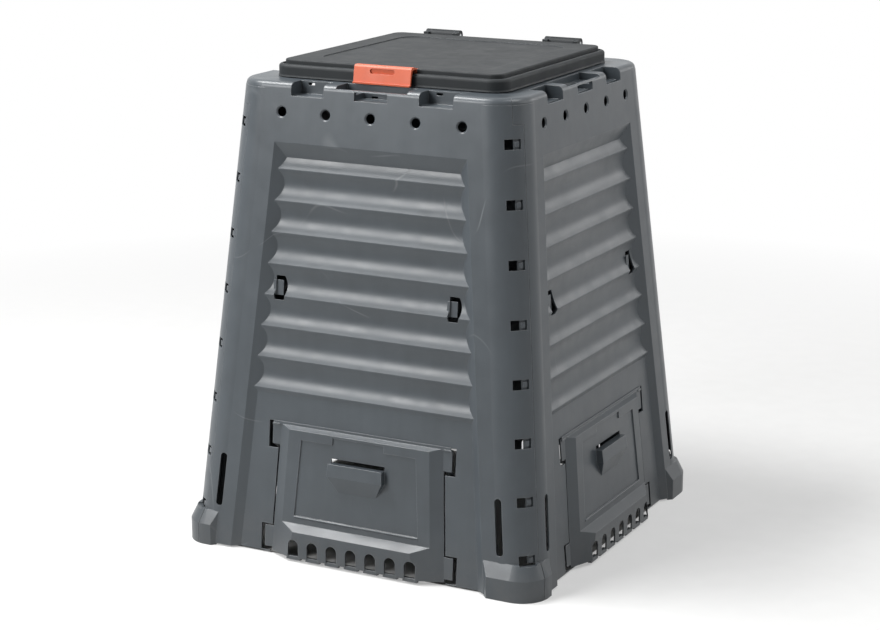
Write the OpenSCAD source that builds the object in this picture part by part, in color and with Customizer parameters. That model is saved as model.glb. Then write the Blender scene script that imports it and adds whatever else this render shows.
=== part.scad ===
// Square garden compost bin of four equal interlocking walls, with a lift-off
// door low in each wall and a hinged lid held by a latch.
// Frame: millimetres, +Z up, origin on the ground under the middle of the bin.
// The front wall faces -Y, the right wall +X, and the lid's hinge is at the back.

/* [Bin] */
// Width over the feet
foot_span = 870; // [760:10:1000]
// Height of the shoulder's top above the ground
wall_h = 1025; // [1000:5:1100]
// Half width over the walls at shoulder height
top_half = 333; // [320:1:345]
// How far a foot stands out past the foot of the wall
foot_out = 8; // [5:1:12]
// Wall thickness
wall_t = 4; // [3:0.5:5]
// Radius of the upright corners
corner_r = 73; // [66:1:80]
// Gap left under the walls between the feet
ground_gap = 4; // [2:1:8]
// Gap along the seams between two walls
seam_gap = 0.6; // [0.4:0.1:1]
// How far a wall wraps round its right-hand corner, in degrees
wrap_ang = 65; // [60:1:68]
// Drop of the seam's jog below the shoulder
jog_drop = 53; // [45:1:60]

/* [Shoulder] */
// Radius of the shoulder's outer edge
edge_r = 13; // [10:1:16]
// Width of the shoulder from the wall's outer face to the opening under the lid
shoulder_w = 85; // [81:1:93]
// Corner radius of that opening
mouth_r = 30; // [20:1:40]

/* [Pockets] */
// Width of a pocket in the shoulder
pocket_w = 78; // [70:1:86]
// Distance of an outer pocket's middle from the next wall's outer face
pocket_in = 181; // [173:1:188]
// Depth of a pocket, from the shoulder's edge inwards
pocket_deep = 40; // [34:1:46]
// Drop of the pocket's floor below the shoulder
pocket_drop = 27.5; // [24:0.5:30]
// Thickness of the pocket's walls
pocket_t = 3; // [2:0.5:4]
// Width of the drain gap behind the pocket's lip
drain_w = 6; // [4:0.5:8]
// Width of the keyhole in the back of a pocket
key_w = 15.5; // [12:0.5:20]
// Height of that keyhole
key_h = 5; // [4:0.5:6]
// Distance of the catch rebate's end from the middle of the pocket beside it
rebate_in = 68; // [62:1:73]
// Drop of the rebate below the shoulder
rebate_drop = 6.5; // [5:0.5:8]
// Depth of the rebate and trough, from the shoulder's edge inwards
rebate_deep = 50; // [46:1:54]
// Drop of the trough's floor below the shoulder
trough_drop = 16; // [12:0.5:18]
// Width of the bar along the trough's front
bar_w = 8; // [6:0.5:10]

/* [Vents and windows] */
// Distance of the outer vents from the corner of the faces at shoulder height
vent_in = 120; // [110:1:130]
// Drop of the vents below the shoulder
vent_drop = 62; // [56:1:66]
// Bore of a vent
vent_d = 20.5; // [16:0.5:24]
// Width of the vent's countersink
vent_sink_d = 26; // [24:0.5:30]
// Height of the lowest corner window's middle above the ground
window_low = 83.7; // [80:0.1:96]
// Drop of the top window below the shoulder
window_drop = 91.5; // [88:0.5:96]
// Height of a window
window_h = 21; // [16:1:26]
// Angle round the corner where a window starts, in degrees
window_from = 30; // [27:1:32]
// Angle round the corner where a window ends, in degrees
window_to = 58; // [55:1:59]
// Length of the upright slots at the foot of a wall
slot_len = 121; // [100:1:130]
// Width of those slots
slot_w = 16; // [10:1:18]
// Height of the slots' middle above the ground
slot_z = 151; // [145:1:160]
// Distance of the slots from the corner of the faces
slot_in = 75; // [72:1:80]
// Height of the side slots with the tongues
side_slot_h = 52; // [44:1:60]
// Width of the side slots
side_slot_w = 29; // [24:1:34]
// Height of their middle above the ground
side_slot_z = 587; // [570:1:600]
// Distance of their middle from the corner of the faces, at half the wall's height
side_slot_in = 171; // [165:1:179]

/* [Recess and waves] */
// Depth of the middle field
recess_deep = 18; // [14:0.5:20]
// Width of the plain field beside it, measured from the corner of the faces
recess_in = 116; // [108:1:124]
// Width of the sloping border
ramp_w = 26; // [20:1:30]
// Height of the sloping border at the top
ramp_h = 34; // [28:1:40]
// Drop of the field's top edge below the shoulder
recess_drop = 126; // [120:1:132]
// Number of waves
wave_n = 8; // [6:1:8]
// Height of the last crest above the ground
wave_end = 364.6; // [358:0.2:372]
// Height of a wave
wave_amp = 10; // [6:0.5:12]
// Drop of the first crest below the shoulder
wave_drop = 183; // [178:1:190]
// Depth of the field round the door
door_deep = 13; // [11:0.5:14]

/* [Door] */
// Half width of the door's opening at its top
port_half = 200; // [192:1:206]
// Height of the opening's top edge above the ground
port_z = 297; // [290:1:302]
// Gap between the door and its opening
port_gap = 3.5; // [3:0.5:4]
// Thickness of the door's walls
door_t = 3.5; // [3:0.25:4]
// Height of the hood's top edge
hood_z = 286; // [280:1:288]
// Half width of the hood's face at its top
hood_half = 170; // [164:1:174]
// Height at which the apron starts to slope out
apron_z = 81; // [76:1:86]
// Height of the apron's lower edge of the slope
apron_low = 67; // [62:1:70]
// How far the apron stands out past the hood's face
apron_out = 19; // [14:1:22]
// Height of the door's lower edge above the ground
skirt_z = 9; // [7:1:12]
// Number of arches
arch_n = 7; // [5:2:7]
// Spacing of the arches
arch_pitch = 47.6; // [44:0.2:49]
// Width of an arch
arch_w = 26; // [20:1:30]
// Height of an arch's crown above the ground
arch_top = 49; // [44:1:54]
// Half width of the sunk panel at its foot
panel_half = 151; // [144:1:154]
// Half width of the panel at its top
panel_top_half = 139; // [132:1:142]
// Height of the panel's foot above the ground
panel_z = 98; // [94:1:102]
// Height of the panel's shoulders above the ground
panel_top = 266; // [258:1:270]
// Depth of the panel
panel_deep = 2.5; // [1.5:0.5:3]
// Half width of the panel's middle, which runs up to the shelf
panel_mid_half = 62; // [50:1:70]
// Half width of the finger slot
grip_half = 65; // [58:1:70]
// Height of the finger slot's middle
grip_z = 232; // [228:1:236]
// Height of the finger slot
grip_h = 9; // [8:0.5:12]
// How far the grip's lip stands out past the panel
grip_out = 14; // [10:1:18]
// Radius of the rib along the panel's foot
rib_r = 2.5; // [2:0.25:3]
// How far the lip along the door's top covers the wall above the gap
lip_over = 1.5; // [1:0.25:2.5]
// Width of an ear of the door
ear_w = 19; // [16:1:22]
// Height of an ear
ear_h = 47; // [42:1:50]
// Angle of the lift-off path above the wall's normal, in degrees
lift_ang = 32; // [28:1:35]

/* [Lid] */
// Inset of the lid's edge from the walls' outer faces at shoulder height
lid_in = 58; // [53:1:62]
// Corner radius of the lid
lid_r = 39; // [34:1:44]
// Height of the lid from its lower edge to its rim
lid_h = 35; // [33:1:38]
// Gap between the lid's edge and the shoulder
lid_gap = 2; // [1:0.5:3]
// Wall thickness of the lid
lid_t = 3.5; // [3:0.5:4]
// Radius of the rolled bead round the rim
bead_r = 7; // [6:0.5:8]
// Distance of the lid's dished field from the lid's edge
dish_in = 70; // [60:1:80]
// Depth of that field
dish_deep = 2; // [1:0.5:2.5]
// Half width of the latch
latch_half = 68; // [60:1:74]
// Radius of the latch's barrel
latch_r = 6; // [5.5:0.25:6.5]
// Diameter of the latch pin
latch_pin_d = 4.2; // [3.6:0.1:4.6]
// Radius of the hinge barrels
hinge_r = 12; // [10:0.5:13]
// Width of one hinge over its knuckles
hinge_w = 86; // [80:1:92]
// Width of an outer knuckle
knuckle_w = 12; // [10:1:15]
// Diameter of the hinge pins
hinge_pin_d = 8; // [6:0.5:9]
// Thickness of a hinge bracket's neck
neck_t = 7.5; // [6:0.5:9]
// Radial play between pins and bores
pin_play = 0.05; // [0.03:0.01:0.1]
// Side play between knuckles
side_play = 0.4; // [0.3:0.1:0.6]
// Gap between seated pieces
seat_gap = 0.3; // [0.2:0.05:0.4]

/* [Hidden] */
// Roundness of circles
fine = 96;
// Overrun of cuts, and how far a rounded profile stands proud of the flat that runs into it
over = 2;
blend = 0.03;
// How far the corner bands stand proud of the faces, as a moulded edge
band_out = 0.5;
reach = 2 * foot_span;

face_half = foot_span / 2 - foot_out;
taper = (face_half - top_half) / wall_h;
tilt = atan(taper);
lean = atan(sqrt(2) * taper);
nrm = atan(cos(lean));
gam = 90 - nrm;
corner_ang = 2 * nrm;
skew = atan(sin(tilt));
gap_ang = seam_gap / 2 / corner_r * 180 / PI;
jog_z = wall_h - jog_drop;
plate_deep = recess_deep + 2 * wall_t + over;

mouth_half = top_half - shoulder_w;
window_pitch = (wall_h - window_drop - window_low) / 7;
vent_pitch = (top_half - vent_in) / 2;

function face_at(z) = face_half - taper * z;
function up(z) = z / cos(tilt);
function arris_up(z) = (z + (corner_r / sin(gam) - corner_r) * sin(lean)) / cos(lean);

// Shoulder: centre height of the rounded edge, the upright axis of the corner's
// roll, and the roll's radius there
roll_z = wall_h - edge_r;
roll_c = face_at(roll_z) - corner_r / cos(tilt);
roll_r = (corner_r - edge_r) / cos(tilt);
roll_end = up(roll_z + edge_r * sin(tilt));
flange_half = roll_c + roll_r;
mitre_in = seam_gap / sqrt(2);

// Pockets and rebate
pocket_pitch = top_half - pocket_in;
rebate_w = 2 * (pocket_pitch - rebate_in);
pocket_back = top_half - pocket_deep;
pocket_z = wall_h - pocket_drop;
rebate_back = top_half - rebate_deep;
rebate_z = wall_h - rebate_drop;
trough_z = wall_h - trough_drop;
bar_back = face_at(rebate_z) - bar_w;

// Waves: spacing, and radius of the equal crest and trough arcs
wave_pitch = (wall_h - wave_drop - wave_end) / (wave_n - 1);
wave_r = (pow(wave_pitch / 2, 2) / 4 + pow(wave_amp / 2, 2) / 4) / (wave_amp / 2);
wave_top = up(wall_h - wave_drop) + wave_pitch / 2;
wave_low = wave_top - wave_n * wave_pitch;

side_slot_x = (face_half + top_half) / 2 - side_slot_in;

// Door outlines
port_low_half = port_half + (port_z - ground_gap) * taper / 1.7;
port_slope = (port_low_half - port_half) / port_z;
leaf_top = port_z - port_gap;
cheek_run = (port_half - port_gap - hood_half) / door_deep;
// Wall of the hood's slanting cheeks, measured across, as a share of its thickness
cheek_share = 1.6;
skirt_w = apron_out - (apron_low - skirt_z) * taper;
ear_x = port_half - port_gap + ear_w;
notch_gap = 9;
hook_len = (notch_gap + 1.5 * wall_t) / sin(lift_ang);
foot_arc = 62;
foot_c = foot_span / 2 - foot_arc;
foot_h = 47;
foot_top = 77;
foot_in = 15;
foot_long = 68;
foot_short = 30;
// Straight part of the latch's finger oval, as a share of the latch's half width
oval_share = 0.7;
// Tongue of a side slot, as a share of the slot
tongue_share = 0.63;

// Lid and hinge
lid_half = top_half - lid_in;
dish_half = lid_half - dish_in;
lid_z = wall_h + lid_gap;
lid_top = lid_z + lid_h;
lid_c = lid_half - lid_r;
bead_z = lid_top - bead_r - 9 / 35 * lid_h;
groove_w = 6;
plate_r = 3;
plate_edge = lid_half - 2 * bead_r - groove_w / 3;
hinge_y = lid_half + hinge_r + 1.5 / 12 * hinge_r;
hinge_z = wall_h + 33 / 35 * lid_h;
latch_y = plate_edge - latch_r * 5 / 6;
latch_z = lid_top - latch_r;
latch_back = latch_y - latch_r - side_play;
latch_floor = latch_z - latch_r - 2 * side_play;

shell_col = "#5c6267";
lid_col = "#44474a";
latch_col = "#e16941";
metal_col = "#8d9194";

// Frames. On the face: x across, y up the slope, z outwards. On the arris: z up
// the line where two faces would meet, x outwards.
module on_face() translate([0, -face_half, 0]) rotate([90 - tilt, 0, 0]) children();
module on_arris() translate([face_half, -face_half, 0]) rotate([0, 0, -45])
    rotate([0, -lean, 0]) translate([-corner_r / sin(gam), 0, 0]) children();
module both_sides() {
    children();
    mirror([1, 0, 0]) children();
}
// Profile with x outwards and y up, run along the wall
module along_wall(len) rotate([0, 0, -90]) rotate([90, 0, 0])
    linear_extrude(len, center = true) children();
// Profile of height and depth, run across the face
module across(len) rotate([90, 0, 90]) linear_extrude(len, center = true) children();

module wedge(a0, a1, r) polygon([
    [0, 0],
    [r * cos(a0), r * sin(a0)],
    [r * sqrt(2) * cos((a0 + a1) / 2), r * sqrt(2) * sin((a0 + a1) / 2)],
    [r * cos(a1), r * sin(a1)]
]);
module ring_part(r, t, a0, a1) intersection() {
    difference() {
        circle(r, $fn = fine);
        circle(r - t, $fn = fine);
    }
    wedge(a0, a1, 2 * r);
}

// Air in front of the sunk field, over the waves and between the sloping borders
module field_profile() {
    v_top = up(wall_h - recess_drop);
    v_ramp = up(wall_h - recess_drop - ramp_h);
    difference() {
        polygon([
            [-reach, -door_deep],
            [wave_low + wave_pitch / 2, -door_deep],
            [wave_low + wave_pitch / 2, -recess_deep],
            [v_ramp, -recess_deep],
            [v_top, 0],
            [v_top + recess_drop / 2, recess_drop],
            [-reach, recess_drop]
        ]);
        intersection() {
            translate([wave_low, -recess_deep - over]) waves();
            translate([wave_low + wave_pitch / 4, -recess_deep - over])
                square([wave_n * wave_pitch, 2 * recess_deep]);
        }
    }
}
module waves() difference() {
    union() {
        square([wave_n * wave_pitch, over + wave_amp / 2]);
        for (i = [0:wave_n - 1])
            intersection() {
                translate([(i + 1 / 2) * wave_pitch, over + wave_amp - wave_r])
                    circle(wave_r, $fn = fine);
                translate([i * wave_pitch, over + wave_amp / 2 - over / 4])
                    square([wave_pitch, wave_amp]);
            }
    }
    for (i = [0:wave_n])
        translate([i * wave_pitch, over + wave_r]) circle(wave_r, $fn = fine);
}
module side_limit() translate([face_half - recess_in, 0, 0]) rotate([0, 0, skew])
    rotate([0, atan(ramp_w / recess_deep), 0])
    translate([-reach, -reach, -reach]) cube([reach, 2 * reach, 2 * reach]);
module field_air() intersection() {
    across(reach) field_profile();
    side_limit();
    mirror([1, 0, 0]) side_limit();
}
module plate_outline(grow) {
    low = face_half - corner_r / tan(gam) + grow;
    high = low - sin(tilt) * (roll_end + grow);
    polygon([[low, -grow], [high, roll_end + grow], [-high, roll_end + grow], [-low, -grow]]);
}
module plate_mass(grow) difference() {
    translate([0, 0, -plate_deep]) linear_extrude(plate_deep) plate_outline(grow);
    field_air();
}
module plate_shell() difference() {
    plate_mass(0);
    translate([0, 0, -wall_t]) plate_mass(over);
}

// Upright corner band from angle 0 at the wall's own face round to angle a
module band(a) on_arris() translate([0, 0, -reach / 8]) linear_extrude(reach)
    rotate(-nrm) ring_part(corner_r + band_out, wall_t * 4 / 5, -9, a);
module slab(z0, z1) translate([-reach, -reach, z0]) cube([2 * reach, 2 * reach, z1 - z0]);
module band_between(a, z0, z1) intersection() {
    band(a);
    slab(z0, z1);
}

// Rounded edge of the shoulder
module roll_profile(from) translate([roll_r, roll_z])
    ring_part(edge_r + blend, wall_t + blend - over / 4, from - 8, 98);
module roll_straight() translate([0, -roll_c, 0]) along_wall(2 * roll_c) roll_profile(tilt);
module roll_corner() translate([roll_c, -roll_c, 0]) rotate([0, 0, -90])
    rotate_extrude(angle = 48, $fn = fine) roll_profile(0);
module mitre() linear_extrude(2 * wall_h) polygon([
    [0, -mitre_in], [reach, -reach - mitre_in], [-reach, -reach - mitre_in]
]);
module round_square(half, r) {
    square([2 * half, 2 * (half - r)], center = true);
    square([2 * (half - r), 2 * half], center = true);
    for (x = [-1, 1])
        for (y = [-1, 1])
            translate([x * (half - r), y * (half - r)]) circle(r, $fn = fine);
}
module shoulder() intersection() {
    union() {
        roll_straight();
        both_sides() roll_corner();
        translate([0, 0, wall_h - wall_t]) linear_extrude(wall_t) difference() {
            round_square(flange_half, roll_r);
            round_square(mouth_half, mouth_r);
        }
    }
    mitre();
}

// Filled section of the shoulder, from which the pockets' linings are cut
module shoulder_mass() {
    square([roll_r + roll_c, wall_h]);
    translate([roll_c + roll_r, roll_z]) circle(edge_r - wall_t / 2, $fn = fine);
    polygon([
        [0, jog_z],
        [face_at(jog_z) - wall_t / 2, jog_z],
        [face_at(roll_z) - wall_t / 2, roll_z],
        [0, roll_z]
    ]);
}
module lining(w, back, low, high) along_wall(w + 2 * pocket_t) intersection() {
    shoulder_mass();
    translate([back - pocket_t, low - pocket_t]) square([reach, high - low + pocket_t]);
}
module pocket_places() for (i = [-1, 0, 1])
    translate([i * pocket_pitch, 0, 0]) children();
module pocket_cut(high, key_top) {
    translate([-pocket_w / 2, -reach, pocket_z])
        cube([pocket_w, reach - pocket_back, high - pocket_z]);
    translate([-pocket_w / 2, -face_at(pocket_z) + wall_t, pocket_z - pocket_t - over])
        cube([pocket_w, drain_w, pocket_t + 2 * over]);
    translate([-pocket_w / 6 - key_w / 2, -pocket_back - over, key_top - key_h])
        cube([key_w, pocket_t + 2 * over, key_h]);
}
module pockets_body() {
    pocket_places() lining(pocket_w, pocket_back, pocket_z, wall_h - wall_t / 2);
    lining(rebate_w, rebate_back, trough_z, wall_h - wall_t / 2);
}
module pockets_cut() {
    for (i = [-1, 1])
        translate([i * pocket_pitch, 0, 0]) pocket_cut(wall_h + over, wall_h - wall_t);
    pocket_cut(rebate_z - pocket_t, trough_z - 2 * pocket_t);
    translate([-rebate_w / 2, -reach, rebate_z]) cube([rebate_w, reach - rebate_back, wall_h]);
    translate([-rebate_w / 2, -bar_back, trough_z]) cube([rebate_w, bar_back - rebate_back, wall_h]);
}

// Foot at the right-hand corner, cut at the seam; the rest belongs to the next wall
module foot_profile() polygon([
    [0, 0], [foot_arc, 0], [foot_arc, foot_h], [foot_arc - foot_in, foot_top], [0, foot_top]
]);
module foot_flat(len) intersection() {
    translate([foot_c - len / 2, -foot_c, 0]) along_wall(len) foot_profile();
    linear_extrude(foot_top) polygon([
        [foot_c, 0], [foot_c, -reach],
        [foot_c - len + foot_in, -foot_span / 2],
        [foot_c - len, -face_half + foot_in / 2],
        [foot_c - len, 0]
    ]);
}
module foot_whole() difference() {
    union() {
        translate([foot_c, -foot_c, 0]) rotate([0, 0, -90])
            rotate_extrude(angle = 90, $fn = fine) foot_profile();
        foot_flat(foot_long);
        mirror([1, 1, 0]) foot_flat(foot_short);
    }
    on_arris() translate([0, 0, -reach / 8]) linear_extrude(reach)
        circle(corner_r - wall_t / 2, $fn = fine);
    on_face() translate([face_half - corner_r / tan(gam) - reach, -reach, -reach - wall_t / 2])
        cube([reach, 2 * reach, reach]);
    mirror([1, 1, 0]) on_face()
        translate([face_half - corner_r / tan(gam) - reach, -reach, -reach - wall_t / 2])
        cube([reach, 2 * reach, reach]);
}
module seam_side(a0, a1) on_arris() translate([0, 0, -reach / 8]) linear_extrude(reach)
    wedge(-nrm + a0, -nrm + a1, reach);
module foot_own() intersection() {
    foot_whole();
    seam_side(-89, wrap_ang - 2 * gap_ang);
}
module foot_rest() intersection() {
    rotate([0, 0, -90]) foot_whole();
    rotate([0, 0, -90]) seam_side(wrap_ang + 2 * gap_ang, corner_ang + 89);
}

// Windows in the wrapped corner, and the tongue of the next wall behind them
module windows() {
    r0 = corner_r - wall_t - seam_gap / 2;
    r1 = 2 * corner_r;
    on_arris() for (i = [0:7])
        translate([0, 0, arris_up(wall_h - window_drop - i * window_pitch) - window_h / 2])
        linear_extrude(window_h) rotate(-nrm) polygon([
            [r0 * cos(window_from), r0 * sin(window_from)],
            [r1 * cos(window_from), r1 * sin(window_from)],
            [r1 * cos(window_to), r1 * sin(window_to)],
            [r0 * cos(window_to), r0 * sin(window_to)]
        ]);
}
module under_lap() rotate([0, 0, -90]) {
    inner = corner_r - wall_t - seam_gap;
    start = (window_from + window_to) / 2 + 2;
    intersection() {
        on_arris() linear_extrude(reach) rotate(-nrm) {
            ring_part(inner, wall_t, start, wrap_ang + 14);
            ring_part(corner_r - wall_t / 3, 3 / 2 * wall_t, wrap_ang + gap_ang * 3, wrap_ang + 13);
        }
        slab(foot_top, jog_z - seam_gap);
    }
    on_arris() for (i = [0:7])
        translate([0, 0, arris_up(wall_h - window_drop - i * window_pitch) - window_h / 4])
            linear_extrude(window_h / 2) rotate(-nrm)
            ring_part(corner_r - wall_t / 4, 2 * wall_t, start + 2, window_to - 3);
}

// Slots low beside the corners, the round vents and the side slots
module slot_cut() on_face() translate([face_half - slot_in, 0, 0]) rotate([0, 0, skew])
    translate([0, up(slot_z), -plate_deep]) linear_extrude(2 * plate_deep) {
        square([slot_w, slot_len - slot_w], center = true);
        for (s = [-1, 1])
            translate([0, s * (slot_len - slot_w) / 2]) circle(d = slot_w, $fn = fine);
    }
module vents_cut() on_face() for (i = [-2:2])
    translate([i * vent_pitch, up(wall_h - vent_drop), 0]) {
        translate([0, 0, -wall_t - over]) cylinder(d = vent_d, h = wall_t + 2 * over, $fn = fine);
        translate([0, 0, -(vent_sink_d - vent_d) / 2])
            cylinder(d1 = vent_d, d2 = vent_sink_d + (vent_sink_d - vent_d),
                h = vent_sink_d - vent_d, $fn = fine);
    }
module side_slot_shape() intersection() {
    square([side_slot_w, side_slot_h], center = true);
    translate([side_slot_w / 2 - side_slot_h, 0]) circle(side_slot_h, $fn = fine);
}
module side_slots_cut() on_face() for (s = [-1, 1])
    translate([s * side_slot_x, up(side_slot_z), -plate_deep])
        linear_extrude(2 * plate_deep) side_slot_shape();
module side_tongues() on_face() for (s = [-1, 1])
    translate([s * side_slot_x - side_slot_w / 2 - wall_t, up(side_slot_z), -recess_deep - wall_t])
        translate([0, -side_slot_h * tongue_share / 2, 0]) {
            cube([side_slot_w * tongue_share + wall_t, side_slot_h * tongue_share, wall_t]);
            cube([wall_t * 1.5, side_slot_h * tongue_share, recess_deep - wave_amp]);
        }

// Opening for the door, with a notch for each ear
module port_outline(out) {
    x0 = port_low_half + port_slope * ground_gap - out;
    polygon([
        [-x0, -over * 2], [x0, -over * 2],
        [port_half - out, up(port_z) - out], [-port_half + out, up(port_z) - out]
    ]);
}
function ear_side(z) = port_half - port_gap + (port_z - z) * port_slope;
ear_top_z = leaf_top - ear_h;
ear_low_z = 16;
module notches() both_sides() for (z = [ear_top_z, ear_low_z])
    translate([ear_side(z) - over * 4, up(z) - notch_gap, -plate_deep])
        cube([over * 4 + ear_w + notch_gap, up(ear_h) + notch_gap + port_gap, 2 * plate_deep]);
module port_cut() on_face() {
    translate([0, 0, -plate_deep]) linear_extrude(2 * plate_deep) port_outline(0);
    notches();
}

module wall() color(shell_col) {
    difference() {
        union() {
            difference() {
                union() {
                    on_face() plate_shell();
                    band_between(wrap_ang - gap_ang, ground_gap, jog_z - seam_gap / 2);
                    band_between(corner_ang / 2 - gap_ang, jog_z - seam_gap, roll_z - over / 2);
                    mirror([1, 0, 0])
                        band_between(corner_ang - wrap_ang - gap_ang, ground_gap, jog_z + seam_gap);
                    mirror([1, 0, 0])
                        band_between(corner_ang / 2 - gap_ang, jog_z + seam_gap / 2, roll_z - over / 2);
                    shoulder();
                    pockets_body();
                }
                slab(-reach, ground_gap);
                pockets_cut();
            }
            foot_own();
            foot_rest();
            under_lap();
        }
        windows();
        both_sides() slot_cut();
        vents_cut();
        side_slots_cut();
        port_cut();
    }
    side_tongues();
}

// Door: a flat leaf in the opening with a hood and an apron moulded on it
module hood_profile(in) {
    f = door_deep;
    low = in == 0 ? up(skirt_z) : -foot_h;
    polygon([
        [low, -f - over * 4],
        [low, apron_out - (up(apron_low) - low) * taper - in],
        [up(apron_low) - in / 2, apron_out - in],
        [up(apron_z) - in, -in],
        [up(hood_z) - in, -in],
        [up(leaf_top) - in * 1.5, -f - in],
        [up(leaf_top) - in * 1.5, -f - over * 4]
    ]);
}
module cheek_limit(in) {
    a = atan(cheek_run);
    x0 = hood_half - in + port_slope * hood_z;
    translate([x0, 0, 0]) rotate([0, 0, atan(port_slope)]) rotate([0, -a, 0])
        translate([-reach, -reach, -reach]) cube([reach, 2 * reach, 2 * reach]);
}
module hood_mass(in) intersection() {
    across(reach) hood_profile(in);
    cheek_limit(in * cheek_share);
    mirror([1, 0, 0]) cheek_limit(in * cheek_share);
    translate([0, 0, -reach / 2]) linear_extrude(reach)
        port_outline(port_gap + blend + in * cheek_share);
}
module leaf() translate([0, 0, -door_deep - door_t]) linear_extrude(door_t) intersection() {
    port_outline(port_gap);
    translate([-reach, up(skirt_z)]) square([2 * reach, reach]);
}
module panel_shape(grow) {
    polygon([
        [-panel_half - grow, up(panel_z) - grow], [panel_half + grow, up(panel_z) - grow],
        [panel_top_half + grow, up(panel_top) + grow], [-panel_top_half - grow, up(panel_top) + grow]
    ]);
    translate([-panel_mid_half - grow, up(panel_top) - over])
        square([2 * (panel_mid_half + grow), up(hood_z) - up(panel_top) + over - panel_deep * 2]);
}
module arches() for (i = [0:arch_n - 1])
    translate([(i - (arch_n - 1) / 2) * arch_pitch, 0, 0]) {
        translate([-arch_w / 2, up(skirt_z) - over * 2, 0])
            cube([arch_w, up(arch_top) - arch_w / 2 - up(skirt_z) + over * 2, reach]);
        translate([0, up(arch_top) - arch_w / 2, 0]) cylinder(d = arch_w, h = reach, $fn = fine);
    }
module top_lip() {
    low = up(leaf_top) - door_t;
    translate([-ear_x, low, seat_gap - door_deep])
        cube([2 * ear_x, up(port_z) + lip_over - low, door_t / 2]);
}
module panel_rib() translate([0, up(panel_z) - rib_r, -rib_r / 3]) rotate([0, 90, 0])
    cylinder(r = rib_r, h = 2 * panel_half, center = true, $fn = fine);
module sills() for (i = [0:arch_n - 1])
    translate([(i - (arch_n - 1) / 2) * arch_pitch, up(ground_gap), skirt_w - door_t * 3])
        translate([-arch_w / 2 - over * 2, 0, 0])
        cube([arch_w + 4 * over, skirt_z - ground_gap + door_t, door_t * 5 / 2]);
module grip_mass(in) {
    lip = up(grip_z) - grip_h / 2 - in;
    crease = lip - grip_h * 3 + in;
    foot = crease - grip_h * 4 + in * 2;
    intersection() {
        across(reach) polygon([
            [foot, -door_t - panel_deep], [foot, -panel_deep - in],
            [crease, grip_out - in], [lip, grip_out - over - in],
            [lip, -door_t - panel_deep]
        ]);
        translate([0, 0, -reach / 2]) linear_extrude(reach) polygon([
            [-grip_half * 0.7 + in, foot], [grip_half * 0.7 - in, foot],
            [grip_half + over - in, crease], [grip_half - in, lip + over],
            [-grip_half + in, lip + over], [-grip_half - over + in, crease]
        ]);
    }
}
module door_body() {
    difference() {
        union() {
            difference() {
                union() {
                    leaf();
                    hood_mass(0);
                }
                translate([0, 0, -panel_deep]) linear_extrude(reach) panel_shape(0);
                hood_mass(door_t);
                translate([0, 0, apron_out / 2 - door_t]) arches();
            }
            intersection() {
                translate([0, 0, -panel_deep - door_t]) linear_extrude(door_t) panel_shape(door_t);
                hood_mass(0);
            }
            grip_mass(0);
            panel_rib();
            top_lip();
            sills();
        }
        grip_mass(door_t);
        translate([-grip_half, up(grip_z) - grip_h / 2, -door_deep])
            cube([2 * grip_half, grip_h, door_deep + grip_out * 2]);
        translate([-reach, -reach, -door_deep - door_t - reach]) cube([2 * reach, 2 * reach, reach]);
    }
}
module ears() both_sides() {
    for (z = [ear_top_z, ear_low_z])
        translate([ear_side(z) - over * 5, up(z), -door_deep - door_t])
            cube([over * 5 + ear_w, up(ear_h), door_t]);
    translate([ear_side(ear_top_z) + over / 2, up(ear_top_z + ear_h) - door_t - over / 4, 0])
        translate([0, 0, -door_deep - door_t / 2]) cube([ear_w - over, door_t, 3 / 2 * door_t]);
    intersection() {
        translate([ear_side(ear_top_z) + over, up(ear_top_z) + door_t, -door_deep - door_t / 2])
            rotate([-lift_ang, 0, 0]) translate([0, -door_t, -hook_len])
            cube([ear_w - 2 * over, door_t, hook_len + door_t]);
        translate([-reach, -reach, -reach - door_deep]) cube([2 * reach, 2 * reach, reach]);
    }
}
module door() color(shell_col) on_face() {
    door_body();
    ears();
}

// Lid: a rim profile run round four sides and four corners, under a thin top
module rim_profile(in) {
    r = lid_r - in;
    difference() {
        union() {
            polygon([
                [0, in == 0 ? 0 : -over],
                [r, in == 0 ? 0 : -over],
                [r - bead_r / 5, bead_r / 2],
                [r - bead_r / 5, bead_z - lid_z],
                [r - bead_r / 5 - bead_r, bead_z - lid_z + bead_r - in / 2],
                [plate_edge - lid_c - in, bead_z - lid_z + bead_r - in / 2],
                [plate_edge - lid_c - in, lid_h - plate_r - in],
                [plate_edge - lid_c - plate_r - in / 2, lid_h - in],
                [0, lid_h - in]
            ]);
            translate([r - bead_r / 5 - bead_r, bead_z - lid_z]) circle(bead_r, $fn = fine);
            translate([plate_edge - lid_c - plate_r - in, lid_h - plate_r - in])
                circle(plate_r, $fn = fine);
        }
        if (in == 0)
            translate([plate_edge - lid_c, bead_z - lid_z + bead_r / 2])
                square([groove_w, bead_r]);
    }
}
module rim_ring(in) {
    for (k = [0:3])
        rotate([0, 0, 90 * k]) {
            translate([0, -lid_c, lid_z]) along_wall(2 * lid_c) rim_profile(in);
            translate([lid_c, -lid_c, lid_z]) rotate([0, 0, -90])
                rotate_extrude(angle = 90, $fn = fine) rim_profile(in);
        }
    translate([-lid_c, -lid_c, lid_z - (in == 0 ? 0 : over)])
        cube([2 * lid_c, 2 * lid_c, lid_h - in + (in == 0 ? 0 : over)]);
}
module knuckle(x, w, r, y, z) translate([x, y, z]) rotate([0, 90, 0])
    cylinder(r = r, h = w, center = true, $fn = fine);
module knuckle_arm(x, w) translate([x - w / 2, lid_half - lid_t * 2, hinge_z - hinge_r * 0.6])
    cube([w, hinge_y - lid_half + lid_t * 2, hinge_r * 1.2]);
module hinge_places() for (s = [-1, 1]) translate([s * pocket_pitch, 0, 0]) children();
bracket_w = hinge_w - 2 * knuckle_w - 2 * side_play;
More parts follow.
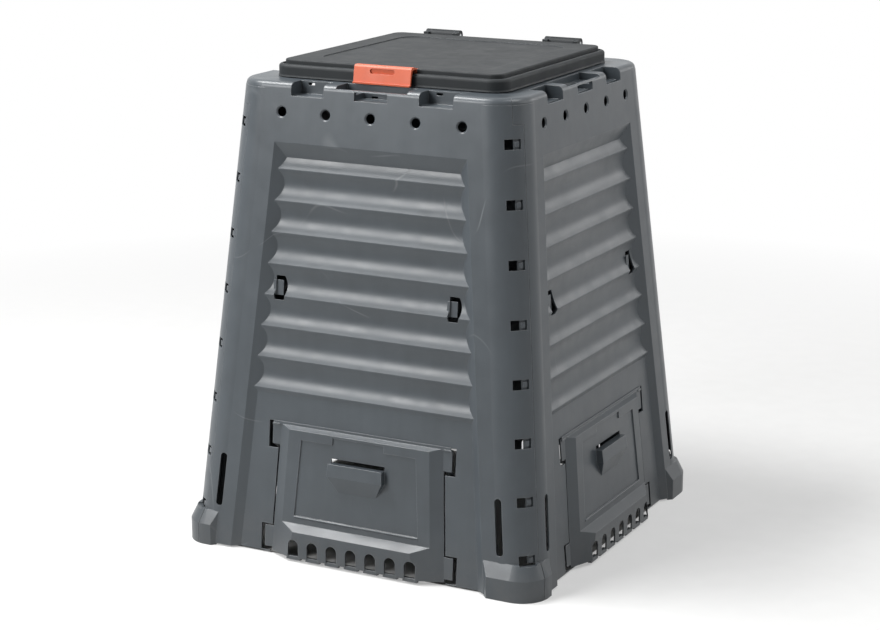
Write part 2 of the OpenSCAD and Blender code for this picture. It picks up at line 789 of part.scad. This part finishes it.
module lid() color(lid_col) difference() {
    union() {
        difference() {
            rim_ring(0);
            rim_ring(lid_t);
            translate([0, 0, lid_top - dish_deep]) linear_extrude(dish_deep + over)
                round_square(dish_half, lid_r);
            translate([-latch_half - side_play, -reach - latch_back, latch_floor])
                cube([2 * (latch_half + side_play), reach, lid_h]);
        }
        translate([0, 0, lid_top - dish_deep - lid_t]) linear_extrude(lid_t)
            round_square(dish_half + lid_t, lid_r + lid_t);
        // Floor, back and cheeks of the pocket that takes the latch
        translate([-latch_half - 2 * latch_r, bead_r / 2 - lid_half, latch_floor - lid_t])
            cube([2 * latch_half + 4 * latch_r, lid_half - bead_r / 2 - latch_back + lid_t, lid_t]);
        translate([-latch_half - 2 * latch_r, -latch_back, latch_floor - lid_t])
            cube([2 * latch_half + 4 * latch_r, lid_t, lid_top - lid_t / 2 - latch_floor + lid_t]);
        for (x = [-latch_half - side_play - 2 * latch_r, latch_half + side_play])
            translate([x, -plate_edge + side_play, latch_floor - lid_t])
                cube([2 * latch_r, plate_edge - latch_back, lid_top - lid_t / 2 - latch_floor + lid_t]);
        hinge_places() for (s = [-1, 1]) {
            knuckle(s * (hinge_w - knuckle_w) / 2, knuckle_w, hinge_r, hinge_y, hinge_z);
            knuckle_arm(s * (hinge_w - knuckle_w) / 2, knuckle_w);
        }
    }
    hinge_places() knuckle(0, 2 * hinge_w, hinge_pin_d / 2 + pin_play, hinge_y, hinge_z);
    knuckle(0, 2 * latch_half + 3 * latch_r, latch_pin_d / 2 + pin_play, -latch_y, latch_z);
}
module flap_profile() {
    front = lid_half - latch_y + latch_r;
    low = lid_z - latch_z;
    rise = latch_r + lid_t;
    polygon([
        [0, latch_r - lid_t / 4], [front / 2, rise], [front - lid_t / 2, rise],
        [front + lid_t / 2, rise - lid_t], [front + lid_t * 2, low + lid_t],
        [front + lid_t * 3, low + lid_t], [front + lid_t * 3, low], [front + lid_t, low],
        [front - lid_t, rise - 2 * lid_t], [front / 2, rise - lid_t],
        [0, latch_r - lid_t]
    ]);
}
module finger_oval() {
    square([latch_half * oval_share, latch_r * 1.8], center = true);
    for (s = [-1, 1])
        translate([s * latch_half * oval_share / 2, 0]) circle(latch_r * 0.9, $fn = fine);
}
module latch() color(latch_col) difference() {
    union() {
        knuckle(0, 2 * latch_half, latch_r, -latch_y, latch_z);
        translate([0, -latch_y, latch_z]) along_wall(2 * latch_half - over / 2) flap_profile();
    }
    knuckle(0, reach, latch_pin_d / 2 + pin_play, -latch_y, latch_z);
    translate([0, -lid_half - latch_r, latch_z - latch_r / 3]) rotate([90, 0, 0])
        linear_extrude(reach) finger_oval();
}
module latch_pin() color(metal_col)
    knuckle(0, 2 * latch_half + 3 * latch_r - 2 * over, latch_pin_d / 2, -latch_y, latch_z);

// Hinge bracket: a plug in an outer pocket of the back wall with a middle knuckle
module hinge_bracket() color(lid_col) difference() {
    plug_y = face_at(wall_h) - edge_r / 2 - pocket_back;
    union() {
        translate([-pocket_w / 2 + seat_gap, pocket_back + seat_gap, pocket_z + seat_gap])
            cube([pocket_w - 2 * seat_gap, plug_y, pocket_drop - edge_r / 3]);
        translate([-bracket_w / 2, pocket_back + seat_gap, pocket_z + seat_gap * 2])
            cube([bracket_w, neck_t, hinge_z - pocket_z - hinge_r]);
        hull() {
            knuckle(0, bracket_w, hinge_r, hinge_y, hinge_z);
            translate([-bracket_w / 2, pocket_back + seat_gap, wall_h])
                cube([bracket_w, hinge_r, seat_gap]);
        }
        knuckle(0, bracket_w, hinge_r, hinge_y, hinge_z);
    }
    knuckle(0, 2 * bracket_w, hinge_pin_d / 2 + pin_play, hinge_y, hinge_z);
}
module hinge_pin() color(metal_col)
    knuckle(0, hinge_w, hinge_pin_d / 2, hinge_y, hinge_z);

wall();  // wall_front
rotate([0, 0, 90]) wall();  // wall_right
rotate([0, 0, 180]) wall();  // wall_back
rotate([0, 0, 270]) wall();  // wall_left
door();  // door_front
rotate([0, 0, 90]) door();  // door_right
rotate([0, 0, 180]) door();  // door_back
rotate([0, 0, 270]) door();  // door_left
lid();
latch();
latch_pin();
translate([-pocket_pitch, 0, 0]) hinge_bracket();  // hinge_bracket_left
translate([pocket_pitch, 0, 0]) hinge_bracket();  // hinge_bracket_right
translate([-pocket_pitch, 0, 0]) hinge_pin();  // hinge_pin_left
translate([pocket_pitch, 0, 0]) hinge_pin();  // hinge_pin_right
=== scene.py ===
"""Finishes, floor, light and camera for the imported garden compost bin.

The bin is moulded polypropylene throughout, with steel pins in its hinges. Its
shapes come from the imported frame. This file gives each of them its finish, and
adds the floor of the groove round the lid.
All lengths are metres, in the frame's own axes: +Z up, front wall facing -Y.
"""
import math

import bpy
import numpy as np
from bpy.props import FloatProperty, FloatVectorProperty, PointerProperty
from mathutils import Matrix, Vector


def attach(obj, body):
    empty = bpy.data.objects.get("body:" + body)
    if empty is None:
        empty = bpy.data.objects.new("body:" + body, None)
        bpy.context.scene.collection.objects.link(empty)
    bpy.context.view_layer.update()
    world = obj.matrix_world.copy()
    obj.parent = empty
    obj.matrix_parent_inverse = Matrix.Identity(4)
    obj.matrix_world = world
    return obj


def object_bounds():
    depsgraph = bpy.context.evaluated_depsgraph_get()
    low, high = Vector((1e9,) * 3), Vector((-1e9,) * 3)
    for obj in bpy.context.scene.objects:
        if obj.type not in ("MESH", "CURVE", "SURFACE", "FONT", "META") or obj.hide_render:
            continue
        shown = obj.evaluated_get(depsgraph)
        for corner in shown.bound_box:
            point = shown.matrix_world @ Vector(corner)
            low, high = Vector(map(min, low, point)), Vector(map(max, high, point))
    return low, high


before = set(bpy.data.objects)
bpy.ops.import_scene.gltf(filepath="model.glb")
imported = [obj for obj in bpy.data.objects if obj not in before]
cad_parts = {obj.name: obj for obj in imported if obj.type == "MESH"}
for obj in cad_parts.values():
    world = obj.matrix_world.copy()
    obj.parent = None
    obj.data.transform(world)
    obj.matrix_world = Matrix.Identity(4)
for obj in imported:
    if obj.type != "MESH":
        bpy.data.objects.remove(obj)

bl_info = {
    "name": "Compost bin studio",
    "version": (1, 0, 0),
    "blender": (4, 5, 0),
    "location": "3D View > Sidebar > Compost bin",
    "description": "Finishes and studio for a square garden compost bin",
    "category": "Material",
}

MM = 0.001
WHITE = (1, 1, 1, 1)
CAD_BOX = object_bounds()
SIDES = ("front", "right", "back", "left")

# Sizes of what the moulded skin shows
CLOUD_WIDTH = 220 * MM
PATCH_WIDTH = 45 * MM
GRAIN_WIDTH = 1.6 * MM
GRAIN_HEIGHT = 0.12 * MM
STREAK_WIDTHS = (24 * MM, 24 * MM, 400 * MM)
SCUFF_WIDTH = 420 * MM
SCUFFED_WIDTH = 120 * MM
DUST_HEIGHT = 120 * MM
PLASTIC_IOR = 1.49

# Tones of the darkest and palest clouds, and how far the finer marks move the tone either way
CLOUD_TONES = (0.90, 1.08)
PATCH_SWING = 0.04
STREAK_SWING = 0.04
GRAIN_SWING = 0.035

# Largest share that scuffs, rubbed edges and soil dust have in the colour, and their own colours
SCUFF_SHARE = 0.3
RUB_SHARE = 0.30
DUST_SHARE = 0.16
SCUFF_COLOUR = "#a6aaad"
RUBBED_COLOUR = "#a9adb0"
DUST_COLOUR = "#6d655c"

# How far a noise may be from its middle value within a scuff's line
SCUFF_HALF_LINE = 0.0028

# Drawn lines of the steel pins, along X
DRAWN_WIDTHS = (30 * MM, 0.4 * MM, 0.4 * MM)
DRAWN_HEIGHT = 0.05 * MM

# Ranges that most values of a noise lie in
NOISE_SPAN = (0.3, 0.7)
GRAIN_SPAN = (0.25, 0.75)

# Way in which a seed moves a finish through its noises
SEED_SHIFT = (1.0, 0.37, 0.61)

# Paper of the floor
FLECK_WIDTH = 60 * MM
FLOOR_COLOURS = ("#bfbfbe", "#c6c6c5")
FLOOR_ROUGHNESS = 0.9

# Shine of the floor round the bin, and how far inside the bin's box it ends
FLOOR_GLOW = 0.35
GLOW_INSET = 30 * MM

# The floor is pure white from this many times the radius that shows shadows
WHITE_FROM = 2.4

# Camera sensor, in millimetres, and how far the camera sees, in metres
SENSOR_WIDTH = 36
CLIP_END = 60

# Each lamp's name, its place, the point it faces, its width, and the size that holds its power
LAMPS = (
    ("key_front_left", (-1.75, -3.3, 2.25), (0, 0, 0.55), 1.5, "key"),
    ("fill_right", (3.6, 1.2, 2.1), (0.2, 0, 0.5), 1.8, "fill"),
    ("back_right", (2.3, 3.6, 1.8), (0.3, 0, 0.5), 1.5, "back"),
    ("top_left", (-1.8, -0.9, 4.0), (0, -0.3, 0.4), 1.5, "top_left"),
    ("top_right", (1.9, 0.1, 3.8), (0.2, 0, 0.6), 1.8, "top_right"),
)


def linear(hex_colour):
    """Scene-linear colour of an sRGB hex value.

    Each part c gives c / 12.92 up to 0.04045, else ((c + 0.055) / 1.055) ** 2.4.
    """
    parts = [int(hex_colour[i:i + 2], 16) / 255 for i in (1, 3, 5)]
    return tuple(c / 12.92 if c <= 0.04045 else ((c + 0.055) / 1.055) ** 2.4 for c in parts)


def add(tree, kind, inputs=None, **settings):
    """Adds one node, sets its properties, and fills or links its inputs by name or number."""
    node = tree.nodes.new(kind)
    for name, value in settings.items():
        setattr(node, name, value)
    for key, value in (inputs or {}).items():
        socket = node.inputs[key]
        if isinstance(value, bpy.types.NodeSocket):
            tree.links.new(value, socket)
        else:
            socket.default_value = value
    return node


def new_material(name):
    """An empty node material with its output, and Object coordinates in metres."""
    mat = bpy.data.materials.new(name)
    mat.use_nodes = True
    tree = mat.node_tree
    tree.nodes.clear()
    out = add(tree, "ShaderNodeOutputMaterial")
    place = add(tree, "ShaderNodeTexCoord").outputs["Object"]
    return mat, tree, out, place


def remap(tree, value, low, high, to_low, to_high):
    """Value moved from one range to another, and held inside it."""
    return add(tree, "ShaderNodeMapRange", {
        "Value": value, "From Min": low, "From Max": high, "To Min": to_low, "To Max": to_high,
    }).outputs["Result"]


def maths(tree, operation, a, b=0.0):
    """One step of arithmetic on two values."""
    return add(tree, "ShaderNodeMath", {0: a, 1: b}, operation=operation).outputs[0]


def mixed(tree, share, a, b, blend="MIX"):
    """Colour a with b laid over it, by a share from 0 to 1."""
    node = add(tree, "ShaderNodeMix", {0: share}, data_type="RGBA", blend_type=blend)
    for socket, value in ((6, a), (7, b)):
        if isinstance(value, bpy.types.NodeSocket):
            tree.links.new(value, node.inputs[socket])
        else:
            node.inputs[socket].default_value = (*value[:3], 1)
    return node.outputs[2]


def toned(tree, colour, tone):
    """Colour made darker or lighter by a factor near 1."""
    grey = add(tree, "ShaderNodeCombineColor", {0: tone, 1: tone, 2: tone}).outputs[0]
    return mixed(tree, 1.0, colour, grey, "MULTIPLY")


def noise(tree, place, width, detail, roughness=0.5, distortion=0.0):
    """Noise from 0 to 1 with clouds about this wide."""
    return add(tree, "ShaderNodeTexNoise", {
        "Vector": place, "Scale": 1 / width, "Detail": detail, "Roughness": roughness,
        "Distortion": distortion,
    }).outputs["Fac"]


def stretched_noise(tree, place, widths, detail):
    """Noise with clouds of a different width along X, Y and Z."""
    scaled = add(tree, "ShaderNodeVectorMath", {0: place, 1: tuple(1 / width for width in widths)},
                 operation="MULTIPLY").outputs[0]
    return noise(tree, scaled, 1.0, detail)


def moulded_plastic(name, colour, rough, edge, seed, scuffs, sheen=0.5):
    """Injection-moulded polypropylene with recycled content, as used for garden bins.

    To the eye: a satin skin with a fine eroded grain, cloudy flow variation a hand
    wide, faint upright flow streaks, a few pale handling scuffs, edges rubbed slightly
    pale, and soil dust that settles near the ground. The grain is really 0.3 mm wide;
    it is drawn at 1.6 mm, the finest that the picture can hold.
    """
    mat, tree, out, ground = new_material(name)
    place = add(tree, "ShaderNodeVectorMath", {0: ground, 1: tuple(seed * s for s in SEED_SHIFT)},
                operation="ADD").outputs[0]
    # Flow variation, the grain of the mould's eroded skin, and streaks up the wall
    cloud = noise(tree, place, CLOUD_WIDTH, detail=4.0, roughness=0.55)
    patch = noise(tree, place, PATCH_WIDTH, detail=3.0, roughness=0.6)
    grain = noise(tree, place, GRAIN_WIDTH, detail=2.0, roughness=0.7)
    streak = stretched_noise(tree, place, STREAK_WIDTHS, detail=2.0)
    tone = remap(tree, cloud, *NOISE_SPAN, *CLOUD_TONES)
    for value, span, swing in ((patch, NOISE_SPAN, PATCH_SWING),
                               (streak, NOISE_SPAN, STREAK_SWING),
                               (grain, GRAIN_SPAN, GRAIN_SWING)):
        tone = maths(tree, "ADD", tone, remap(tree, value, *span, -swing, swing))
    # Scuffs: long thin lines where a wide, bent noise passes its middle value
    bent = noise(tree, place, SCUFF_WIDTH, detail=1.0, distortion=0.5)
    off = maths(tree, "ABSOLUTE", maths(tree, "SUBTRACT", bent, 0.5))
    line = remap(tree, off, 0.0, SCUFF_HALF_LINE, 1.0, 0.0)
    where = noise(tree, place, SCUFFED_WIDTH, detail=1.0)
    scuff = maths(tree, "MULTIPLY", line,
                  remap(tree, where, 0.55, 0.72, 0.0, SCUFF_SHARE * scuffs))
    # Edges rubbed pale, where the rounded normal leaves the flat one
    soft = add(tree, "ShaderNodeBevel", {"Radius": edge}, samples=6).outputs["Normal"]
    wide = add(tree, "ShaderNodeBevel", {"Radius": 2 * edge}, samples=4).outputs["Normal"]
    flat = add(tree, "ShaderNodeNewGeometry").outputs["Normal"]
    turn = add(tree, "ShaderNodeVectorMath", {0: wide, 1: flat},
               operation="DOT_PRODUCT").outputs["Value"]
    rub = maths(tree, "MULTIPLY", remap(tree, turn, 0.97, 0.72, 0.0, RUB_SHARE),
                remap(tree, patch, 0.35, 0.6, 0.3, 1.0))
    # Soil dust low down, patchy
    height = add(tree, "ShaderNodeSeparateXYZ", {0: ground}).outputs[2]
    dust = maths(tree, "MULTIPLY", remap(tree, height, 0.0, DUST_HEIGHT, DUST_SHARE, 0.0),
                 remap(tree, patch, 0.35, 0.7, 0.2, 1.0))
    base = toned(tree, colour, tone)
    base = mixed(tree, rub, base, linear(RUBBED_COLOUR))
    base = mixed(tree, scuff, base, linear(SCUFF_COLOUR))
    base = mixed(tree, dust, base, linear(DUST_COLOUR))
    # Patches and scuffs differ in roughness too, and the grain stands up a little
    skin = remap(tree, patch, *NOISE_SPAN, rough - 0.05, rough + 0.06)
    bump = add(tree, "ShaderNodeBump", {
        "Height": grain, "Normal": soft, "Strength": 0.35, "Distance": GRAIN_HEIGHT,
    })
    shader = add(tree, "ShaderNodeBsdfPrincipled", {
        "Base Color": base, "Roughness": maths(tree, "ADD", skin, scuff),
        "Normal": bump.outputs["Normal"], "IOR": PLASTIC_IOR, "Specular IOR Level": sheen,
    })
    tree.links.new(shader.outputs[0], out.inputs[0])
    return mat


def brushed_steel(name, colour):
    """Drawn and zinc-plated steel rod: bright, with fine lines along its length, 0.4 mm apart."""
    mat, tree, out, place = new_material(name)
    lines = stretched_noise(tree, place, DRAWN_WIDTHS, detail=2.0)
    bump = add(tree, "ShaderNodeBump", {
        "Height": lines, "Strength": 0.3, "Distance": DRAWN_HEIGHT,
    })
    shader = add(tree, "ShaderNodeBsdfPrincipled", {
        "Base Color": toned(tree, colour, remap(tree, lines, *NOISE_SPAN, 0.86, 1.1)),
        "Metallic": 1.0, "Roughness": remap(tree, lines, *NOISE_SPAN, 0.28, 0.4),
        "Normal": bump.outputs["Normal"],
    })
    tree.links.new(shader.outputs[0], out.inputs[0])
    return mat


def dress(nodes, mat):
    """Gives carried-over nodes one finish."""
    for name in nodes:
        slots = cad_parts[name].data.materials
        slots.clear()
        slots.append(mat)


class FinishSizes(bpy.types.PropertyGroup):
    """Colours of the finishes, and roughness and edges of the mouldings."""
    shell: FloatVectorProperty(name="Shell", description="Anthracite of the walls and doors",
                               subtype="COLOR", default=linear("#43494e"))
    lid: FloatVectorProperty(name="Lid",
                             description="Darker graphite of the lid and hinge brackets",
                             subtype="COLOR", default=linear("#25282a"))
    latch: FloatVectorProperty(name="Latch", description="Orange-red of the latch",
                               subtype="COLOR", default=linear("#c65a37"))
    steel: FloatVectorProperty(name="Steel", description="Plated steel of the pins",
                               subtype="COLOR", default=linear("#b9bcbe"))
    rough: FloatProperty(name="Roughness", description="Roughness of the satin moulded skin",
                         subtype="FACTOR", default=0.35, min=0.2, max=0.9)
    edge: FloatProperty(name="Edge radius", description="Radius of the moulded edges",
                        unit="LENGTH", default=1.6 * MM, min=0.2 * MM, max=4 * MM)


class GrooveSizes(bpy.types.PropertyGroup):
    """Floor of the groove round the lid, between its raised top and its rim."""
    corner: FloatProperty(name="Corner",
                          description="Where the lid's corner arcs are centred, in X and Y",
                          unit="LENGTH", default=0.236)
    inner: FloatProperty(name="Inner edge", description="Arc radius under the raised top's edge",
                         unit="LENGTH", default=0.0216)
    outer: FloatProperty(name="Outer edge", description="Arc radius under the rim's bead",
                         unit="LENGTH", default=0.0304)
    slope: FloatProperty(name="Slope", description="Width of the sloping side of the groove",
                         unit="LENGTH", default=0.0020)
    edge_z: FloatProperty(name="Edge height", description="Underside of the raised top's edge",
                          unit="LENGTH", default=1.05125)
    rim_z: FloatProperty(name="Rim height", description="Underside of the rim's bead",
                         unit="LENGTH", default=1.0521)
    floor_z: FloatProperty(name="Floor height", description="Upper side of the groove's floor",
                           unit="LENGTH", default=1.0499)
    thick: FloatProperty(name="Thickness", description="Thickness of the groove's floor",
                         unit="LENGTH", default=0.0016)
    start: FloatProperty(name="Start", description="Half width left open for the latch",
                         unit="LENGTH", default=0.0692)


class StudioSizes(bpy.types.PropertyGroup):
    """Camera, floor and lamps."""
    eye: FloatVectorProperty(name="Camera", description="Where the camera stands",
                             subtype="TRANSLATION", unit="LENGTH",
                             default=(2.2035, -4.2610, 1.7111))
    yaw: FloatProperty(name="Yaw", description="Turn of the view to the left of +Y",
                       subtype="ANGLE", default=math.radians(27.48))
    pitch: FloatProperty(name="Pitch", description="Tilt of the view above level",
                         subtype="ANGLE", default=math.radians(-14.53))
    lens: FloatProperty(name="Lens", description="Focal length on a 36 mm wide sensor",
                        unit="CAMERA", default=90.0, min=20, max=200)
    floor: FloatProperty(name="Floor", description="Radius of the floor",
                         unit="LENGTH", default=14.0)
    key: FloatProperty(name="Key", description="Power of the soft lamp at the front left",
                       unit="POWER", default=100.0)
    fill: FloatProperty(name="Fill", description="Power of the soft lamp at the right",
                        unit="POWER", default=20.0)
    top_left: FloatProperty(name="Top left",
                            description="Power of the lamp high above the front left",
                            unit="POWER", default=180.0)
    top_right: FloatProperty(name="Top right",
                             description="Power of the lamp high above the right side",
                             unit="POWER", default=45.0)
    back: FloatProperty(name="Back right",
                        description="Power of the low lamp behind the right side",
                        unit="POWER", default=15.0)
    sky: FloatProperty(name="Surroundings", description="Strength of the even light all round",
                       default=0.10)
    near: FloatProperty(name="Shadow floor",
                        description="Radius inside which the floor shows shadows",
                        unit="LENGTH", default=1.3)


class FinishWalls(bpy.types.Operator):
    """Moulded finish of the four walls"""
    bl_idname = "bin.finish_walls"
    bl_label = "Finish walls"

    def execute(self, context):
        sizes = context.scene.bin_finish
        mat = moulded_plastic("polypropylene_walls_satin", sizes.shell, sizes.rough, sizes.edge,
                              seed=0.0, scuffs=0.9)
        dress(["wall_" + side for side in SIDES], mat)
        return {"FINISHED"}


class FinishDoors(bpy.types.Operator):
    """Moulded finish of the four lift-off doors"""
    bl_idname = "bin.finish_doors"
    bl_label = "Finish doors"

    def execute(self, context):
        sizes = context.scene.bin_finish
        mat = moulded_plastic("polypropylene_doors_satin", sizes.shell, sizes.rough - 0.02,
                              sizes.edge, seed=3.1, scuffs=0.5)
        dress(["door_" + side for side in SIDES], mat)
        return {"FINISHED"}


class FinishLid(bpy.types.Operator):
    """Darker moulded finish of the lid and its two hinge brackets"""
    bl_idname = "bin.finish_lid"
    bl_label = "Finish lid"

    def execute(self, context):
        sizes = context.scene.bin_finish
        mat = moulded_plastic("polypropylene_lid_graphite", sizes.lid, sizes.rough + 0.2,
                              sizes.edge, seed=7.3, scuffs=0.6, sheen=0.22)
        dress(["lid", "hinge_bracket_left", "hinge_bracket_right"], mat)
        return {"FINISHED"}


def placed(name, data):
    """A new object in the scene that carries this data."""
    obj = bpy.data.objects.new(name, data)
    bpy.context.scene.collection.objects.link(obj)
    return obj


def meshed(name, points, faces):
    """A new mesh object at the origin, from an array of points and a list of faces."""
    mesh = bpy.data.meshes.new(name)
    mesh.from_pydata(points.tolist(), [], faces)
    return placed(name, mesh)


def swept_strip(name, centre, start, section, steps=13):
    """Strip run round a square with rounded corners, left open at the middle of the front.

    Section point v stands d(v) from the corner's centre at height z(v). At each corner, for a
    over its quarter turn, x = cx + d cos a and y = cy + d sin a. Straight stretches join the
    corners, and the two ends stand at x = start and x = -start. The section runs anticlockwise.
    """
    d, z = np.array(section).T
    rows = [np.stack([0 * d + start, -centre - d, z], -1)]
    for corner in range(4):
        middle = (corner - 0.5) * np.pi / 2
        cx, cy = centre * np.sign(np.cos(middle)), centre * np.sign(np.sin(middle))
        a = (np.linspace(-0.5, 0.5, steps) * np.pi / 2 + middle)[:, None]
        rows += list(np.stack([cx + d * np.cos(a), cy + d * np.sin(a), z + 0 * a], -1))
    rows.append(np.stack([0 * d - start, -centre - d, z], -1))
    n, m = len(rows), len(d)
    i, j = np.meshgrid(np.arange(n - 1), np.arange(m), indexing="ij")
    k = (j + 1) % m
    sides = np.stack([i * m + j, (i + 1) * m + j, (i + 1) * m + k, i * m + k], -1).reshape(-1, 4)
    ends = [list(range(m)), list(range(n * m - 1, n * m - m - 1, -1))]
    return meshed(name, np.concatenate(rows), sides.tolist() + ends)


class LidGroove(bpy.types.Operator):
    """Floor of the groove that runs round the lid, moulded in one with it"""
    bl_idname = "bin.lid_groove"
    bl_label = "Add the lid's groove floor"

    def execute(self, context):
        g = context.scene.bin_groove
        low = [(g.inner, g.edge_z - g.thick), (g.inner + g.slope, g.floor_z - g.thick),
               (g.outer - g.slope, g.floor_z - g.thick), (g.outer, g.rim_z - g.thick)]
        high = [(g.outer, g.rim_z), (g.outer - g.slope, g.floor_z),
                (g.inner + g.slope, g.floor_z), (g.inner, g.edge_z)]
        floor = swept_strip("lid_groove_floor", g.corner, g.start, low + high)
        floor.data.materials.append(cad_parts["lid"].data.materials[0])
        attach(floor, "lid")
        return {"FINISHED"}


class FinishLatch(bpy.types.Operator):
    """Orange moulded finish of the latch"""
    bl_idname = "bin.finish_latch"
    bl_label = "Finish latch"

    def execute(self, context):
        sizes = context.scene.bin_finish
        mat = moulded_plastic("polypropylene_latch_orange", sizes.latch, sizes.rough + 0.1,
                              sizes.edge / 2, seed=11.7, scuffs=0.0, sheen=0.4)
        dress(["latch"], mat)
        return {"FINISHED"}


class FinishPins(bpy.types.Operator):
    """Plated steel of the latch pin and hinge pins"""
    bl_idname = "bin.finish_pins"
    bl_label = "Finish pins"

    def execute(self, context):
        mat = brushed_steel("zinc_plated_steel_drawn", context.scene.bin_finish.steel)
        dress(["latch_pin", "hinge_pin_left", "hinge_pin_right"], mat)
        return {"FINISHED"}


def disc(name, radius, rings, spokes):
    """Flat disc: point (i, j) stands at radius * i / rings and angle 2 pi j / spokes, at z = 0."""
    r, a = np.meshgrid(np.linspace(0, radius, rings + 1)[1:],
                       np.linspace(0, 2 * np.pi, spokes, endpoint=False), indexing="ij")
    grid = np.stack([r * np.cos(a), r * np.sin(a), 0 * a], -1).reshape(-1, 3)
    j = np.arange(spokes)
    k = (j + 1) % spokes
    faces = np.stack([0 * j, 1 + j, 1 + k], -1).tolist()
    for i in range(rings - 1):
        near, far = 1 + i * spokes, 1 + (i + 1) * spokes
        faces += np.stack([near + j, far + j, far + k, near + k], -1).tolist()
    return meshed(name, np.concatenate([[[0, 0, 0]], grid]), faces)


def lamp(name, place, aim, width, power):
    """A square soft lamp that faces a point."""
    data = bpy.data.lights.new(name, "AREA")
    data.size = width
    data.energy = power
    obj = placed(name, data)
    obj.location = place
    obj.rotation_euler = (Vector(aim) - Vector(place)).to_track_quat("-Z", "Y").to_euler()


def seen_directly(tree):
    """1 for camera, glossy and transmission rays, else 0."""
    path = add(tree, "ShaderNodeLightPath").outputs
    both = maths(tree, "MAXIMUM", path["Is Camera Ray"], path["Is Glossy Ray"])
    return maths(tree, "MAXIMUM", both, path["Is Transmission Ray"])


def floor_paper(near):
    """Pale matt paper that takes the bin's shadow and turns pure white far out.

    Seen directly, it also shines a little round the bin, but not under it, where the
    shine would show through the gaps.
    """
    mat, tree, out, place = new_material("floor_pale_paper")
    fleck = noise(tree, place, FLECK_WIDTH, detail=2.0)
    paper = mixed(tree, fleck, *(linear(colour) for colour in FLOOR_COLOURS))
    matt = add(tree, "ShaderNodeBsdfPrincipled", {
        "Base Color": paper, "Roughness": FLOOR_ROUGHNESS,
    })
    axes = add(tree, "ShaderNodeSeparateXYZ", {0: place}).outputs
    square = maths(tree, "MAXIMUM", *(maths(tree, "ABSOLUTE", axes[i]) for i in (0, 1)))
    outside = maths(tree, "GREATER_THAN", square, CAD_BOX[1][0] - GLOW_INSET)
    radius = maths(tree, "SQRT",
                   maths(tree, "ADD", *(maths(tree, "POWER", axes[i], 2.0) for i in (0, 1))))
    far = remap(tree, radius, near, WHITE_FROM * near, 0.0, 1.0)
    seen = seen_directly(tree)
    glow = add(tree, "ShaderNodeEmission", {
        "Color": WHITE,
        "Strength": maths(tree, "MULTIPLY", maths(tree, "MULTIPLY", outside, FLOOR_GLOW), seen),
    })
    lit = add(tree, "ShaderNodeAddShader", {0: matt.outputs[0], 1: glow.outputs[0]})
    white = add(tree, "ShaderNodeEmission", {"Color": WHITE, "Strength": 1.0})
    final = add(tree, "ShaderNodeMixShader", {
        0: maths(tree, "MULTIPLY", far, seen), 1: lit.outputs[0], 2: white.outputs[0],
    })
    tree.links.new(final.outputs[0], out.inputs[0])
    return mat


def white_world(sky):
    """Surroundings that look pure white, and give only this much even light."""
    world = bpy.data.worlds.new("white_studio")
    world.use_nodes = True
    tree = world.node_tree
    tree.nodes.clear()
    even = add(tree, "ShaderNodeBackground", {"Color": WHITE, "Strength": sky})
    white = add(tree, "ShaderNodeBackground", {"Color": WHITE, "Strength": 1.0})
    both = add(tree, "ShaderNodeMixShader", {
        0: seen_directly(tree), 1: even.outputs[0], 2: white.outputs[0],
    })
    tree.links.new(both.outputs[0], add(tree, "ShaderNodeOutputWorld").inputs[0])
    return world


def camera(eye, yaw, pitch, lens):
    """Camera at a point, turned by yaw to the left of +Y and tilted by pitch above level."""
    data = bpy.data.cameras.new("camera")
    data.lens = lens
    data.sensor_width = SENSOR_WIDTH
    data.clip_end = CLIP_END
    obj = placed("camera", data)
    turn = Matrix.Rotation(yaw, 4, "Z") @ Matrix.Rotation(math.pi / 2 + pitch, 4, "X")
    obj.matrix_world = Matrix.Translation(eye) @ turn
    return obj


class Studio(bpy.types.Operator):
    """Pale floor, soft lamps, white surroundings and the camera"""
    bl_idname = "bin.studio"
    bl_label = "Set up the studio"

    def execute(self, context):
        scene = context.scene
        sizes = scene.bin_studio
        floor = disc("floor", sizes.floor, rings=6, spokes=64)
        floor.data.materials.append(floor_paper(sizes.near))
        scene.world = white_world(sizes.sky)
        for name, place, aim, width, power in LAMPS:
            lamp(name, place, aim, width, getattr(sizes, power))
        scene.camera = camera(sizes.eye, sizes.yaw, sizes.pitch, sizes.lens)
        scene.view_settings.view_transform = "Standard"
        return {"FINISHED"}


class BinPanel(bpy.types.Panel):
    """Lists the steps and their sizes in the sidebar"""
    bl_idname = "VIEW3D_PT_compost_bin"
    bl_label = "Compost bin"
    bl_space_type = "VIEW_3D"
    bl_region_type = "UI"
    bl_category = "Compost bin"

    def draw(self, context):
        scene = context.scene
        for group in (scene.bin_finish, scene.bin_groove, scene.bin_studio):
            box = self.layout.box()
            for name in group.bl_rna.properties.keys():
                if name not in ("rna_type", "name"):
                    box.prop(group, name)
        for step in STEPS:
            self.layout.operator(step.bl_idname)


STEPS = (FinishWalls, FinishDoors, FinishLid, LidGroove, FinishLatch, FinishPins, Studio)
CLASSES = (FinishSizes, GrooveSizes, StudioSizes, *STEPS, BinPanel)


def register():
    for cls in CLASSES:
        bpy.utils.register_class(cls)
    bpy.types.Scene.bin_finish = PointerProperty(type=FinishSizes)
    bpy.types.Scene.bin_groove = PointerProperty(type=GrooveSizes)
    bpy.types.Scene.bin_studio = PointerProperty(type=StudioSizes)


def unregister():
    del bpy.types.Scene.bin_studio
    del bpy.types.Scene.bin_groove
    del bpy.types.Scene.bin_finish
    for cls in reversed(CLASSES):
        bpy.utils.unregister_class(cls)


def main():
    register()
    for step in STEPS:
        group, name = step.bl_idname.split(".")
        getattr(getattr(bpy.ops, group), name)()


if __name__ == "__main__":
    main()
